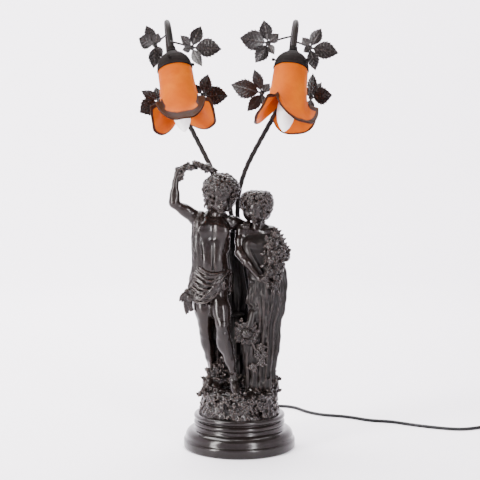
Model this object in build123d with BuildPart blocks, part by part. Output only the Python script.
from build123d import *
import math
import os

# Figural table lamp: a youth and a girl in cast bronze on a turned plinth,
# two rope-turned stems that arch forward into bell caps with glass shades.
# Millimetres, +Z up, origin at the middle of the plinth's resting face,
# the viewer stands on the -Y side.

os.makedirs("parts", exist_ok=True)

# ---------------------------------------------------------------- dimensions
base_r = 100.0            # plinth radius at the floor
felt_t = 1.5              # felt under the plinth
plinth_top = 61.5         # flat top of the plinth
mound_top = 106.0         # top of the rocky ground
pipe_x, pipe_y = -8.0, 24.0    # lamp pipe M10 x 1
pipe_r, pipe_bore = 5.0, 3.5
pipe_top = 394.0
stem_r, stem_bore = 4.3, 3.3
wire_r = 2.2
cord_r = 3.0
cord_exit_z = 10.0

# caps and shades: middle of each cap's rim and the way its axis points (down)
rim_left = Vector(-110.2, -46.0, 666.1)
rim_right = Vector(88.6, -46.0, 666.5)
down_left = Vector(0.156, -0.354, -0.922).normalized()
down_right = Vector(-0.118, -0.370, -0.921).normalized()
cap_r = 30.5              # cap rim
cap_h = 35.0              # cap height
screw_h = 11.0            # thumb screws above the rim
shade_len = 118.0         # glass below the rim
shade_r = 60.0            # petals' reach
bulb_r = 16.0             # frosted candle bulb, E14 cap


# ------------------------------------------------------------------- helpers
def ball(c, r):
    with Locations(c):
        Sphere(r)


def bone(p, q, r0, r1):
    a, b = Vector(*p), Vector(*q)
    v = b - a
    with Locations(Plane(origin=(a + b) * 0.5, z_dir=v)):
        if abs(r0 - r1) < 1e-6:
            Cylinder(r0, v.length)
        else:
            Cone(r0, r1, v.length)


def rings(rows):
    sections = []
    for z, cx, cy, rx, ry in rows:
        with BuildSketch(Plane.XY.offset(z)) as ring:
            with Locations((cx, cy)):
                Ellipse(rx, ry)
        sections.append(ring.sketch.faces()[0])
    loft(sections=sections)


def rod(p, q, r, mode=Mode.ADD):
    a, b = Vector(*p), Vector(*q)
    v = b - a
    with Locations(Plane(origin=(a + b) * 0.5, z_dir=v)):
        Cylinder(r, v.length, mode=mode)


def arc_radii(pts):
    out = []
    for i in range(1, len(pts) - 1):
        a, b, c = Vector(*pts[i - 1]), Vector(*pts[i]), Vector(*pts[i + 1])
        turn = (b - a).get_angle(c - b)
        shorter = min((b - a).length, (c - b).length)
        out.append(0.45 * shorter / math.tan(math.radians(turn / 2)))
    return out


def finish(piece, name):
    piece.part.label = name
    export_step(piece.part, "parts/%s.step" % name)


# ------------------------------------------------------------------- plinth
with BuildPart() as base_felt:
    with BuildSketch():
        Circle(base_r - 2.0)
    extrude(amount=felt_t)
finish(base_felt, "base_felt")

with BuildPart() as plinth_shell:
    with BuildSketch(Plane.XZ):
        with BuildLine():
            Polyline((100, felt_t), (100, 14), (98.5, 17), (97, 19.5), (96.3, 21.5))
            ThreePointArc((96.3, 21.5), (91.0, 28.6), (82.5, 34.5))
            Polyline((82.5, 34.5), (81, 36), (80, 38.5), (80, 40))
            ThreePointArc((80, 40), (81.6, 45), (78, 50))
            Polyline((78, 50), (76.5, 51.5), (79.5, 52.5))
            ThreePointArc((79.5, 52.5), (81.6, 57), (79, 61.5))
            Polyline((79, 61.5), (0, 61.5), (0, 58), (73, 58), (73, 49), (76.5, 45),
                     (76.5, 39), (79, 33), (90, 24), (93, 19), (97, 13), (97, felt_t), (100, felt_t))
        make_face()
    revolve(axis=Axis.Z)
    rod((pipe_x, pipe_y, 50), (pipe_x, pipe_y, 70), 5.2, Mode.SUBTRACT)
    for a in (90, 210, 330):
        x, y = 45 * math.cos(math.radians(a)), 45 * math.sin(math.radians(a))
        rod((x, y, 50), (x, y, 70), 2.7, Mode.SUBTRACT)
    rod((0, 88, cord_exit_z), (0, 108, cord_exit_z), 5.5, Mode.SUBTRACT)
finish(plinth_shell, "plinth_shell")

with BuildPart() as ballast:
    with BuildSketch(Plane.XY.offset(12)):
        Circle(67.5)
    extrude(amount=18)
    with BuildSketch(Plane.XY.offset(30)):
        with Locations((pipe_x, pipe_y)):
            Circle(12)
    extrude(amount=28)
    rod((pipe_x, pipe_y, 0), (pipe_x, pipe_y, 70), 5.2, Mode.SUBTRACT)
    rod((-30, pipe_y, 40.6), (pipe_x, pipe_y, 40.6), 3.6, Mode.SUBTRACT)
    for a in (90, 210, 330):
        x, y = 45 * math.cos(math.radians(a)), 45 * math.sin(math.radians(a))
        rod((x, y, 10), (x, y, 31), 6.0, Mode.SUBTRACT)
finish(ballast, "ballast")

with BuildPart() as casting_screws:
    for a in (90, 210, 330):
        x, y = 45 * math.cos(math.radians(a)), 45 * math.sin(math.radians(a))
        rod((x, y, 58), (x, y, 78), 2.5)
        rod((x, y, 54), (x, y, 58), 4.6)
finish(casting_screws, "casting_screws")

with BuildPart() as pipe_nut:
    with BuildSketch(Plane.XY.offset(11)):
        with Locations((pipe_x, pipe_y)):
            Circle(10)
            Circle(pipe_r + 0.05, mode=Mode.SUBTRACT)
    extrude(amount=1)
    with BuildSketch(Plane.XY.offset(5)):
        with Locations((pipe_x, pipe_y)):
            RegularPolygon(8.1, 6)
            Circle(pipe_r + 0.05, mode=Mode.SUBTRACT)
    extrude(amount=6)
finish(pipe_nut, "pipe_nut")

with BuildPart() as lamp_pipe:
    with BuildSketch(Plane.XY.offset(3.5)):
        with Locations((pipe_x, pipe_y)):
            Circle(pipe_r)
            Circle(pipe_bore, mode=Mode.SUBTRACT)
    extrude(amount=pipe_top - 3.5)
    rod((-30, pipe_y, 40.6), (pipe_x, pipe_y, 40.6), 3.4, Mode.SUBTRACT)
finish(lamp_pipe, "lamp_pipe")

with BuildPart() as terminal_block:
    with BuildSketch(Plane.XY.offset(30)):
        with Locations((-44, pipe_y)):
            Rectangle(20, 28)
    extrude(amount=14)
    fillet(terminal_block.edges().filter_by(Axis.Z), 2)
    for y in (-8, 0, 8):
        rod((-44, pipe_y + y, 40), (-44, pipe_y + y, 46), 2.0, Mode.SUBTRACT)
finish(terminal_block, "terminal_block")

with BuildPart() as harness:
    with BuildLine() as harness_path:
        FilletPolyline((-33.95, pipe_y, 40), (pipe_x, pipe_y, 40), (pipe_x, pipe_y, 120), radius=[5.5])
    with BuildSketch(Plane(origin=(-33.95, pipe_y, 40), z_dir=harness_path.line % 0)):
        Circle(wire_r)
    sweep(path=harness_path.line)
    rod((pipe_x, pipe_y, 120), (pipe_x, pipe_y, 392), wire_r)
finish(harness, "harness")

# -------------------------------------------------------- cord bush and lead
with BuildPart() as cord_bush:
    with BuildSketch(Plane.YZ):
        with BuildLine():
            Polyline((91.2, cord_exit_z + 3.05), (91.2, cord_exit_z + 6.4), (93.2, cord_exit_z + 6.4),
                     (94.2, cord_exit_z + 5.4), (100.4, cord_exit_z + 5.4), (100.4, cord_exit_z + 7.2),
                     (103.0, cord_exit_z + 7.0), (105.0, cord_exit_z + 5.6), (127.0, cord_exit_z + 4.1),
                     (127.0, cord_exit_z + 3.5), (118.0, cord_exit_z + 3.05), close=True)
        make_face()
    revolve(axis=Axis((0, 0, cord_exit_z), (0, 1, 0)))
finish(cord_bush, "cord_bush")

with BuildPart() as lead_inside:
    lead_pts = [(0, 98.5, cord_exit_z), (0, 80, cord_exit_z), (-3, 75.5, 27), (-16, 64, 36.5), (-44, 54, 38), (-44, 38.1, 38)]
    with BuildLine() as lead_path:
        FilletPolyline(*lead_pts, radius=[6, 9, 12, 7])
    with BuildSketch(Plane(origin=lead_pts[0], z_dir=lead_path.line % 0)):
        Circle(cord_r - 0.2)
    sweep(path=lead_path.line)
finish(lead_inside, "lead_inside")

# -------------------------------------------------------------------- mound
with BuildPart() as mound:
    rings([(61.5, 0, 1, 74, 72), (74, 0, 1, 73, 71), (90, 0, 0, 67, 64), (100, 0, 0, 58, 54), (mound_top, 0, 0, 42, 38)])
    for c, r in (((-54, -14, 86), 17), ((55, -8, 87), 18), ((-31, -50, 83), 16), ((27, -51, 84), 17),
                 ((-2, -58, 80), 14), ((-46, 34, 86), 18), ((43, 38, 85), 18), ((2, 57, 81), 16)):
        ball(c, r)
    bone((60, -6, 96), (67, -6, 122), 7, 5.2)
    ball((67, -6, 123), 5.6)
    rod((pipe_x, pipe_y, 55), (pipe_x, pipe_y, 125), 5.2, Mode.SUBTRACT)
    for a in (90, 210, 330):
        x, y = 45 * math.cos(math.radians(a)), 45 * math.sin(math.radians(a))
        rod((x, y, 55), (x, y, 78), 2.5, Mode.SUBTRACT)
finish(mound, "mound")

with BuildPart() as tree_trunk:
    rings([(98, -4, 22, 21, 18), (130, -3, 23, 17, 15), (220, -2, 24, 15, 14), (320, -5, 24, 15, 14), (384, -8, 24, 13, 12)])
    rod((pipe_x, pipe_y, 90), (pipe_x, pipe_y, 390), 5.2, Mode.SUBTRACT)
finish(tree_trunk, "tree_trunk")

# ------------------------------------------------------------------- youth
with BuildPart() as youth:
    rings([(262, -52, -5, 37, 26), (284, -53, -5, 38, 27), (306, -50, -5, 33, 23), (332, -44, -6, 27, 20),
           (360, -43, -8, 31, 22), (388, -42, -8, 35, 22), (406, -40, -3, 30, 17), (414, -36, -2, 16, 12)])
    bone((-33, -3, 405), (-31, -7, 440), 11.5, 11)
    ball((-32, -9, 457), 27)
    ball((-40, -6, 466), 24)
    ball((-22, -8, 464), 23)
    # raised right arm and hand
    ball((-74, 0, 410), 13.5)
    bone((-74, 0, 410), (-114, -8, 436), 13, 9)
    ball((-114, -8, 436), 10)
    bone((-114, -8, 436), (-112, -5, 474), 9, 6.5)
    ball((-112, -5, 474), 7.4)
    bone((-112, -5, 474), (-103, -1, 494), 6.2, 7.2)
    ball((-103, -1, 494), 8.3)
    # left arm behind the girl's shoulder
    ball((-11, 1, 401), 12.5)
    bone((-11, 1, 401), (12, 9, 394), 11, 7.6)
    ball((12, 9, 394), 8.4)
    bone((12, 9, 394), (13, -5, 402), 7.6, 6.2)
    # draped hip and knot
    ball((-88, -10, 285), 11)
    bone((-90, -10, 283), (-96, -12, 258), 9, 5)
    # legs
    bone((-68, 0, 275), (-60, -6, 214), 20, 13)
    ball((-60, -6, 214), 14)
    bone((-60, -6, 214), (-50, 14, 134), 12.4, 7.4)
    ball((-50, 14, 134), 8.6)
    bone((-50, 14, 134), (-58, -14, 108), 7.2, 6)
    bone((-38, -8, 278), (-29, -35, 222), 19, 13)
    ball((-29, -35, 222), 14)
    bone((-29, -35, 222), (-10, -30, 128), 12.4, 7.4)
    ball((-10, -30, 128), 8.6)
    bone((-10, -30, 128), (-6, -58, 103), 7.2, 6)
    ball((-6, -58, 103), 6.6)
finish(youth, "youth")

with BuildPart() as vine_garland:
    gar = [(-108, -2, 498), (-92, 0, 500), (-74, 5, 500), (-58, 9, 492), (-44, 9, 484)]
    for i in range(len(gar) - 1):
        bone(gar[i], gar[i + 1], 7.5, 7.0)
        ball(gar[i + 1], 7.8)
    ball(gar[0], 8.2)
    ball((-98, -2, 488), 8.5)
finish(vine_garland, "vine_garland")

# -------------------------------------------------------------------- girl
with BuildPart() as girl:
    rings([(102, 38, -6, 27, 24), (150, 39, -6, 25, 22), (200, 41, -8, 31, 26), (250, 45, -6, 35, 28),
           (286, 47, -6, 36, 28), (318, 41, -6, 27, 21), (346, 33, -8, 26, 20), (368, 30, -8, 29, 19),
           (386, 31, -3, 27, 13), (394, 33, -1, 14, 10)])
    bone((34, -1, 388), (33, -5, 422), 10, 9.5)
    ball((31, -6, 434), 24)
    ball((40, 0, 438), 23)
    ball((52, 2, 453), 10)
    ball((4, -2, 383), 11.5)
    bone((4, -2, 383), (-1, -22, 351), 11, 8.4)
    ball((-1, -22, 351), 8.6)
    bone((-1, -22, 351), (29, -40, 312), 8.2, 6)
    ball((35, -41, 306), 8)
    ball((57, 2, 379), 12)
    bone((57, 2, 379), (84, -4, 338), 11, 8.6)
    ball((84, -4, 338), 8.9)
    bone((84, -4, 338), (60, -34, 354), 8.4, 6.2)
    ball((58, -35, 355), 8)
    bone((30, -14, 262), (13, -26, 214), 19, 13.5)
    ball((13, -26, 213), 13.8)
    bone((13, -26, 213), (16, -10, 128), 12.5, 8)
    bone((16, -12, 124), (31, -34, 106), 7.5, 5.8)
    ball((31, -34, 106), 6)
    bone((56, -8, 124), (55, -30, 106), 7.5, 5.8)
    ball((55, -30, 106), 6)
finish(girl, "girl")

with BuildPart() as bouquet:
    for c, r in (((56, -42, 366), 12), ((66, -38, 350), 14), ((56, -46, 338), 13), ((66, -40, 326), 13),
                 ((54, -44, 316), 11), ((66, -36, 306), 10), ((60, -38, 292), 8)):
        ball(c, r)
finish(bouquet, "bouquet")

# ------------------------------------------------------------------- stems
hub = (pipe_x, pipe_y, 402.0)
with BuildPart() as stem_hub:
    ball(hub, 9)
    rod((pipe_x, pipe_y, 384), (pipe_x, pipe_y, 402), 8)
    rod((pipe_x, pipe_y, 380), (pipe_x, pipe_y, pipe_top), pipe_r, Mode.SUBTRACT)
    rod((pipe_x, pipe_y, pipe_top - 1), (pipe_x, pipe_y, 403), 3.5, Mode.SUBTRACT)
    rod((-12.8, 24, 406), (-12.8 - 4.2 * 0.6, 24 + 3 * 0.6, 406 + 22 * 0.6), stem_r, Mode.SUBTRACT)
    rod((-3.2, 24, 406), (-3.2 - 0.3 * 0.5, 24 + 2.5 * 0.5, 406 + 26 * 0.5), stem_r, Mode.SUBTRACT)
finish(stem_hub, "stem_hub")


def up_from_rim(rim, down, h):
    return rim - down * h


def stem_points(rim, down, lower, rear_x, top_x, side):
    """Lower run behind the figures, rear leg, arch and the straight into the cap."""
    end = up_from_rim(rim, down, 38.0)
    last = up_from_rim(rim, down, 38.0 + 46.5)
    arch = [(rear_x, 41.5, 729), (top_x, 26.3, 750.0), (top_x + side, 3.0, 754.0),
            (last.X, last.Y, last.Z)]
    return [Vector(*p) for p in lower] + [Vector(*p) for p in arch] + [end]


lower_left = [(-12.8, 24, 406), (-17, 27, 428), (-30, 31, 458), (-50, 33, 497), (-67, 35, 531), (-86, 38, 567),
              (-107, 41, 612), (-121, 41.5, 660), (-125.5, 41.5, 700)]
lower_right = [(-3.2, 24, 406), (-3.5, 26.5, 432), (0.5, 30, 462), (11, 33, 496), (27, 35, 528), (45, 37, 560),
               (66, 39.5, 598), (83, 41.5, 640), (92, 41.5, 690)]
left_pts = stem_points(rim_left, down_left, lower_left, -127.5, -128.0, 1.0)
right_pts = stem_points(rim_right, down_right, lower_right, 96.0, 98.5, 0.5)


def stem(points, radius, bore):
    radii = arc_radii([tuple(p) for p in points])
    print("stem radii", [round(r, 1) for r in radii])
    with BuildLine() as path:
        FilletPolyline(*points, radius=radii)
    with BuildSketch(Plane(origin=points[0], z_dir=path.line % 0)) as section:
        Circle(radius)
        if bore:
            Circle(bore, mode=Mode.SUBTRACT)
    sweep(sections=section.sketch, path=path.line)


with BuildPart() as stem_left:
    stem(left_pts, stem_r, stem_bore)
finish(stem_left, "stem_left")
with BuildPart() as stem_right:
    stem(right_pts, stem_r, stem_bore)
finish(stem_right, "stem_right")
with BuildPart() as wires_left:
    stem(left_pts, wire_r, 0)
finish(wires_left, "wires_left")
with BuildPart() as wires_right:
    stem(right_pts, wire_r, 0)
finish(wires_right, "wires_right")


# ------------------------------------------------- caps, holders and shades
def front_of(down):
    up = down * -1
    f = Vector(0, -1, 0)
    return (f - up * f.dot(up)).normalized()


def turn(rim, down, profile, mode=Mode.ADD):
    up = down * -1
    n = front_of(down)
    with BuildSketch(Plane(origin=rim, x_dir=n, z_dir=n.cross(up))) as section:
        with BuildLine():
            Polyline(*profile, close=True)
        make_face()
    revolve(profiles=section.sketch, axis=Axis(rim, up), mode=mode)


def around(rim, down, angle, r, h):
    """Point and outward direction at an angle about the shade's axis, 0 facing the viewer."""
    up = down * -1
    n = front_of(down)
    s = up.cross(n)
    a = math.radians(angle)
    o = n * math.cos(a) + s * math.sin(a)
    return rim + up * h + o * r, o


cap_profile = [(30.2, 0), (31.0, 1.4), (30.4, 2.8), (29.9, 8), (28.4, 14), (25.6, 20), (20.2, 26), (13.2, 31),
               (8.8, 34), (7.6, cap_h), (5.1, cap_h), (5.1, 32.8), (8.0, 32.3), (12.2, 29.4), (18.9, 24.6),
               (24.1, 19), (26.9, 13.4), (28.4, 7.6), (28.9, 2), (28.9, 0)]
shade_profile = [(19.5, 17.5), (23.5, 17.5), (24.0, 16.5), (24.0, 15.0), (22.4, 14.0), (22.4, 7.0), (24.5, 4.5),
                 (27.6, 1.5), (28.4, -2), (29.2, -30), (31.5, -52), (35.0, -72), (40.0, -90), (48.0, -105),
                 (shade_r, -116), (58.8, -118), (46.0, -109), (37.6, -93), (32.2, -74), (28.6, -53),
                 (26.2, -30), (25.2, -3), (22.0, 3.5), (19.5, 7.0)]
collar_profile = [(5.05, cap_h), (8.6, cap_h), (8.9, 36.2), (7.0, 38.5), (6.6, 43.5), (5.8, 45.0), (4.35, 45.0),
                  (4.35, 38.05), (5.05, 38.05)]
nipple_profile = [(3.4, 19), (5.0, 19), (5.0, 38.0), (3.4, 38.0)]
nut_profile = [(5.05, 28.6), (7.4, 28.6), (7.4, 31.8), (5.05, 32.0)]
holder_profile = [(5.05, 27), (9.0, 27), (13.4, 21), (13.6, 18), (13.6, -33), (12.6, -36), (7.35, -36), (7.35, -9.5),
                  (2.5, -9.5), (2.5, 18.9), (5.05, 18.9)]
bulb_cap_profile = [(0, -10.2), (2.4, -10.2), (3.2, -11.4), (5.4, -12.6), (7.0, -14.5), (7.0, -37.2), (0, -37.2)]
bulb_profile = [(0, -37.3), (7.2, -37.3), (8.2, -42), (11.5, -50), (14.8, -60), (bulb_r, -72), (15.6, -84),
                (13.2, -96), (9.0, -106), (4.2, -112.5), (0, -115.5), (0, -114.3), (3.6, -111.5), (8.0, -105.2),
                (12.2, -95.4), (14.6, -83.7), (15.0, -72.1), (13.8, -60.4), (10.6, -50.6), (7.2, -42.4), (6.2, -38.5),
                (0, -38.5)]

sides = {"left": (rim_left, down_left, (-8, 112, 232)), "right": (rim_right, down_right, (-75, 45, 165))}
for side, (rim, down, angles) in sides.items():
    with BuildPart() as cap:
        turn(rim, down, cap_profile)
        for ang in angles:
            p, o = around(rim, down, ang, 22, screw_h)
            rod(tuple(p), tuple(p + o * 12), 1.56, Mode.SUBTRACT)
    finish(cap, "cap_%s" % side)
    with BuildPart() as collar:
        turn(rim, down, collar_profile)
    finish(collar, "stem_collar_%s" % side)
    with BuildPart() as holder:
        turn(rim, down, holder_profile)
    finish(holder, "lampholder_%s" % side)
    with BuildPart() as shade:
        turn(rim, down, shade_profile)
    finish(shade, "shade_%s" % side)
    with BuildPart() as bulb_cap:
        turn(rim, down, bulb_cap_profile)
    finish(bulb_cap, "bulb_cap_%s" % side)
    with BuildPart() as bulb_glass:
        turn(rim, down, bulb_profile)
    finish(bulb_glass, "bulb_glass_%s" % side)
    for k, ang in enumerate(angles):
        with BuildPart() as thumb_screw:
            p, o = around(rim, down, ang, 22.8, screw_h)
            rod(tuple(p), tuple(p + o * 10.0), 1.5)
            rod(tuple(p + o * 9.0), tuple(p + o * 13.0), 2.6)
        finish(thumb_screw, "thumb_screw_%s_%s" % (side, "abc"[k]))
        print("joint screw_%s_%s" % (side, "abc"[k]), "pos", [round(v / 1000, 6) for v in p], "axis", [round(v, 6) for v in o])
    print("joint bulb_%s pos" % side, [round(v / 1000, 6) for v in rim], "axis", [round(v, 6) for v in down])

with BuildPart() as holder_nipples:
    turn(rim_left, down_left, nipple_profile)
    turn(rim_right, down_right, nipple_profile)
finish(holder_nipples, "holder_nipples")
with BuildPart() as lock_nuts:
    turn(rim_left, down_left, nut_profile)
    turn(rim_right, down_right, nut_profile)
finish(lock_nuts, "lock_nuts")

# -------------------------------------------------------------- leaf sprays
# Each spray: a wire from the stem to a joint, and leaves as (tip x, y, z, half width).
sprays = {
    "leaf_spray_left_upper_outer": ((-127.5, -19, 728), (-146, -22, 711),
        [(-174, -26, 722, 15), (-162, -16, 745, 10), (-140, -30, 731, 9), (-147, -34, 669, 11), (-133, -24, 690, 8)]),
    "leaf_spray_left_upper_inner": ((-119.5, -32, 716), (-82, -28, 706),
        [(-66, -22, 744, 12), (-101, -32, 727, 8), (-30, -34, 704, 17), (-64, -60, 670, 9), (-98, -34, 701, 7)]),
    "leaf_spray_left_lower_outer": ((-112, 41, 622), (-141, 0, 616),
        [(-171, -8, 634, 9), (-174, -10, 594, 17), (-146, 8, 640, 8), (-150, 14, 584, 8), (-128, -2, 596, 6)]),
    "leaf_spray_left_lower_inner": ((-105, 41, 610), (-64, 2, 626),
        [(-54, -6, 662, 12), (-19, -12, 622, 17), (-84, 10, 646, 7), (-62, 8, 590, 8), (-42, 14, 642, 7)]),
    "leaf_spray_right_upper_inner": ((96.0, -22, 727), (50, -22, 714),
        [(1, -28, 724, 18), (43, -16, 754, 12), (69, -28, 729, 9), (27, -36, 680, 13), (60, -34, 694, 7)]),
    "leaf_spray_right_upper_outer": ((97.0, -30, 716), (122, -26, 706),
        [(142, -20, 740, 11), (109, -30, 724, 8), (171, -34, 696, 16), (132, -36, 666, 11), (110, -36, 698, 6)]),
    "leaf_spray_right_lower_inner": ((84, 41, 644), (40, 4, 630),
        [(-16, -6, 642, 17), (26, -2, 671, 10), (54, 0, 646, 8), (15, -10, 596, 11), (42, -4, 606, 6)]),
    "leaf_spray_right_lower_outer": ((87, 41, 662), (126, 4, 622),
        [(131, 0, 664, 9), (163, -8, 626, 16), (124, 8, 596, 8), (146, 14, 648, 7), (112, 6, 642, 6)]),
}
for name, (foot, joint, leaves) in sprays.items():
    with BuildPart() as spray:
        f, j = Vector(*foot), Vector(*joint)
        f = f + (j - f).normalized() * (stem_r - 0.35)
        bone(tuple(f), tuple(j), 1.0, 1.2)
        ball(tuple(j), 3.0)
        for tx, ty, tz, hw in leaves:
            t = Vector(tx, ty, tz)
            v = t - j
            w = v.length
            nrm = Vector(0, -1, 0).cross(v).cross(v) * -1
            with BuildSketch(Plane(origin=j, x_dir=v, z_dir=nrm)):
                with BuildLine():
                    Polyline((0, 1.0), (0.22 * w, 0.55 * hw), (0.42 * w, hw), (0.66 * w, 0.86 * hw), (0.86 * w, 0.45 * hw),
                             (w, 0), (0.86 * w, -0.45 * hw), (0.66 * w, -0.86 * hw), (0.42 * w, -hw),
                             (0.22 * w, -0.55 * hw), (0, -1.0), close=True)
                make_face()
            extrude(amount=0.6, both=True)
    finish(spray, name)

# --------------------------------------------------------------------- cord
fl = cord_r + 0.05
route = [(0, 98.5, cord_exit_z), (0, 137, cord_exit_z), (2, 176, fl), (8, 214, fl), (20, 252, fl), (44, 287, fl),
         (82, 302, fl), (115, 287, fl), (134, 248, fl), (164, 220, fl), (199, 211, fl), (224, 198, fl),
         (256, 172, fl), (296, 165, fl), (328, 141, fl), (370, 118, fl), (409, 103, fl), (437, 107, fl),
         (468, 124, fl), (498, 136, 8.6), (556, 139, 8.6), (584, 124.5, fl), (602.5, 112.0, fl)]
cord_radii = arc_radii(route)
print("cord radii", [round(r, 1) for r in cord_radii])
with BuildPart() as cord:
    with BuildLine() as cord_path:
        FilletPolyline(*route, radius=cord_radii)
    with BuildSketch(Plane(origin=route[0], z_dir=cord_path.line % 0)):
        Circle(cord_r)
    sweep(path=cord_path.line)
cord_len = sum(e.length for e in cord_path.line.edges())
print("cord tube length", round(cord_len, 1), "volume ratio", round(cord.part.volume / (math.pi * cord_r ** 2 * cord_len), 4))
finish(cord, "cord")

coil_x, coil_y = 584.0, 84.0
coil_in, coil_out, coil_h = 26.8, 39.3, 12.2
with BuildPart() as cord_coil:
    with BuildSketch():
        with Locations((coil_x, coil_y)):
            Circle(coil_out)
            Circle(coil_in, mode=Mode.SUBTRACT)
    extrude(amount=coil_h)
finish(cord_coil, "cord_coil")

tail = [(602.0, 52.8, 9.1), (583.0, 41.5, 7.5), (560.0, 33.5, fl), (536.0, 31.0, 7.0), (520.0, 31.0, 7.0)]
tail_radii = arc_radii(tail)
print("tail radii", [round(r, 1) for r in tail_radii])
with BuildPart() as cord_tail:
    with BuildLine() as tail_path:
        FilletPolyline(*tail, radius=tail_radii)
    with BuildSketch(Plane(origin=tail[0], z_dir=tail_path.line % 0)):
        Circle(cord_r)
    sweep(path=tail_path.line)
print("tail length", round(sum(e.length for e in tail_path.line.edges()), 1))
finish(cord_tail, "cord_tail")

with BuildPart() as coil_tie:
    with BuildSketch(Plane(origin=(coil_x - 33.05, coil_y, 6.1), x_dir=(1, 0, 0), z_dir=(0, 1, 0))):
        Rectangle(15.4, 14.0)
        Rectangle(13.8, 12.5, mode=Mode.SUBTRACT)
    extrude(amount=4, both=True)
    with Locations((coil_x - 33.05, coil_y, 14.4)):
        Cylinder(1.6, 14, rotation=(0, 90, 0))
    split(bisect_by=Plane.XY, keep=Keep.TOP)
finish(coil_tie, "coil_tie")

# --------------------------------------------------- in-line switch and plug
sw_x, sw_y, sw_z = 527.0, 137.5, 8.6
sw_turn = math.degrees(math.atan2(3.0, 58.0))
sw_base = Plane(origin=(sw_x, sw_y, 0), x_dir=(math.cos(math.radians(sw_turn)), math.sin(math.radians(sw_turn)), 0), z_dir=(0, 0, 1))
sw_len, sw_wid = 52.0, 24.0
with BuildPart() as switch_base:
    with BuildSketch(sw_base):
        SlotOverall(sw_len, sw_wid)
    extrude(amount=8.5)
    with BuildSketch(sw_base.offset(2.0)):
        RectangleRounded(24, 16, 2)
    extrude(amount=6.5, mode=Mode.SUBTRACT)
    rod((sw_x - 40 * math.cos(math.radians(sw_turn)), sw_y - 40 * math.sin(math.radians(sw_turn)), sw_z),
        (sw_x + 40 * math.cos(math.radians(sw_turn)), sw_y + 40 * math.sin(math.radians(sw_turn)), sw_z), 4.3, Mode.SUBTRACT)
    for s in (-1, 1):
        p = sw_base.origin + sw_base.x_dir * (s * 18.0) + sw_base.y_dir * (s * 7.6)
        rod((p.X, p.Y, -1), (p.X, p.Y, 10), 1.3, Mode.SUBTRACT)
        rod((p.X, p.Y, -1), (p.X, p.Y, 1.7), 2.5, Mode.SUBTRACT)
finish(switch_base, "switch_base")

with BuildPart() as switch_cover:
    with BuildSketch(sw_base.offset(8.6)):
        SlotOverall(sw_len, sw_wid)
    extrude(amount=8.4)
    with BuildSketch(sw_base.offset(8.6)):
        RectangleRounded(24, 16, 2)
    extrude(amount=6.0, mode=Mode.SUBTRACT)
    with BuildSketch(sw_base.offset(12)):
        Rectangle(17.0, 11.0)
    extrude(amount=8, mode=Mode.SUBTRACT)
    fillet(switch_cover.faces().sort_by(Axis.Z)[-1].outer_wire().edges(), 2.0)
    rod((sw_x - 40 * math.cos(math.radians(sw_turn)), sw_y - 40 * math.sin(math.radians(sw_turn)), sw_z),
        (sw_x + 40 * math.cos(math.radians(sw_turn)), sw_y + 40 * math.sin(math.radians(sw_turn)), sw_z), 4.3, Mode.SUBTRACT)
    for s in (-1, 1):
        p = sw_base.origin + sw_base.x_dir * (s * 18.0) + sw_base.y_dir * (s * 7.6)
        rod((p.X, p.Y, 8), (p.X, p.Y, 13.4), 1.3, Mode.SUBTRACT)
finish(switch_cover, "switch_cover")

rock_z = sw_base.x_dir.cross(Vector(0, 0, 1))
rock_x = sw_base.x_dir * math.cos(math.radians(7)) + rock_z.cross(sw_base.x_dir) * math.sin(math.radians(7))
rocker_axis = Plane(origin=(sw_x, sw_y, 14.6), x_dir=rock_x, z_dir=rock_z)
with BuildPart() as switch_rocker:
    with BuildSketch(rocker_axis):
        with BuildLine():
            Polyline((-7.6, -1.6), (-7.9, 3.4), (0, 1.9), (7.9, 3.4), (7.6, -1.6), (0, -2.2), close=True)
        make_face()
    extrude(amount=5.1, both=True)
finish(switch_rocker, "switch_rocker")
print("rocker pos", [round(v / 1000, 6) for v in rocker_axis.origin], "axis", [round(v, 6) for v in rocker_axis.z_dir])

with BuildPart() as switch_screws:
    for s in (-1, 1):
        p = sw_base.origin + sw_base.x_dir * (s * 18.0) + sw_base.y_dir * (s * 7.6)
        rod((p.X, p.Y, 1.2), (p.X, p.Y, 13), 1.2)
        rod((p.X, p.Y, 0.4), (p.X, p.Y, 1.6), 2.4)
finish(switch_screws, "switch_screws")

plug_x, plug_y, plug_z = 520.0, 31.0, 7.0
with BuildPart() as plug_body:
    for x, w, h in ((0, 9, 9), (-12, 13, 12), (-22, 26, 13.9), (-34, 30, 13.9)):
        with BuildSketch(Plane(origin=(plug_x + x, plug_y, plug_z), x_dir=(0, 1, 0), z_dir=(-1, 0, 0))):
            RectangleRounded(w, h, min(w, h) * 0.42)
    loft(ruled=True)
finish(plug_body, "plug_body")
with BuildPart() as plug_pins:
    for y in (-9.3, 9.3):
        rod((plug_x - 34.0, plug_y + y, plug_z), (plug_x - 53, plug_y + y, plug_z), 2.0)
finish(plug_pins, "plug_pins")
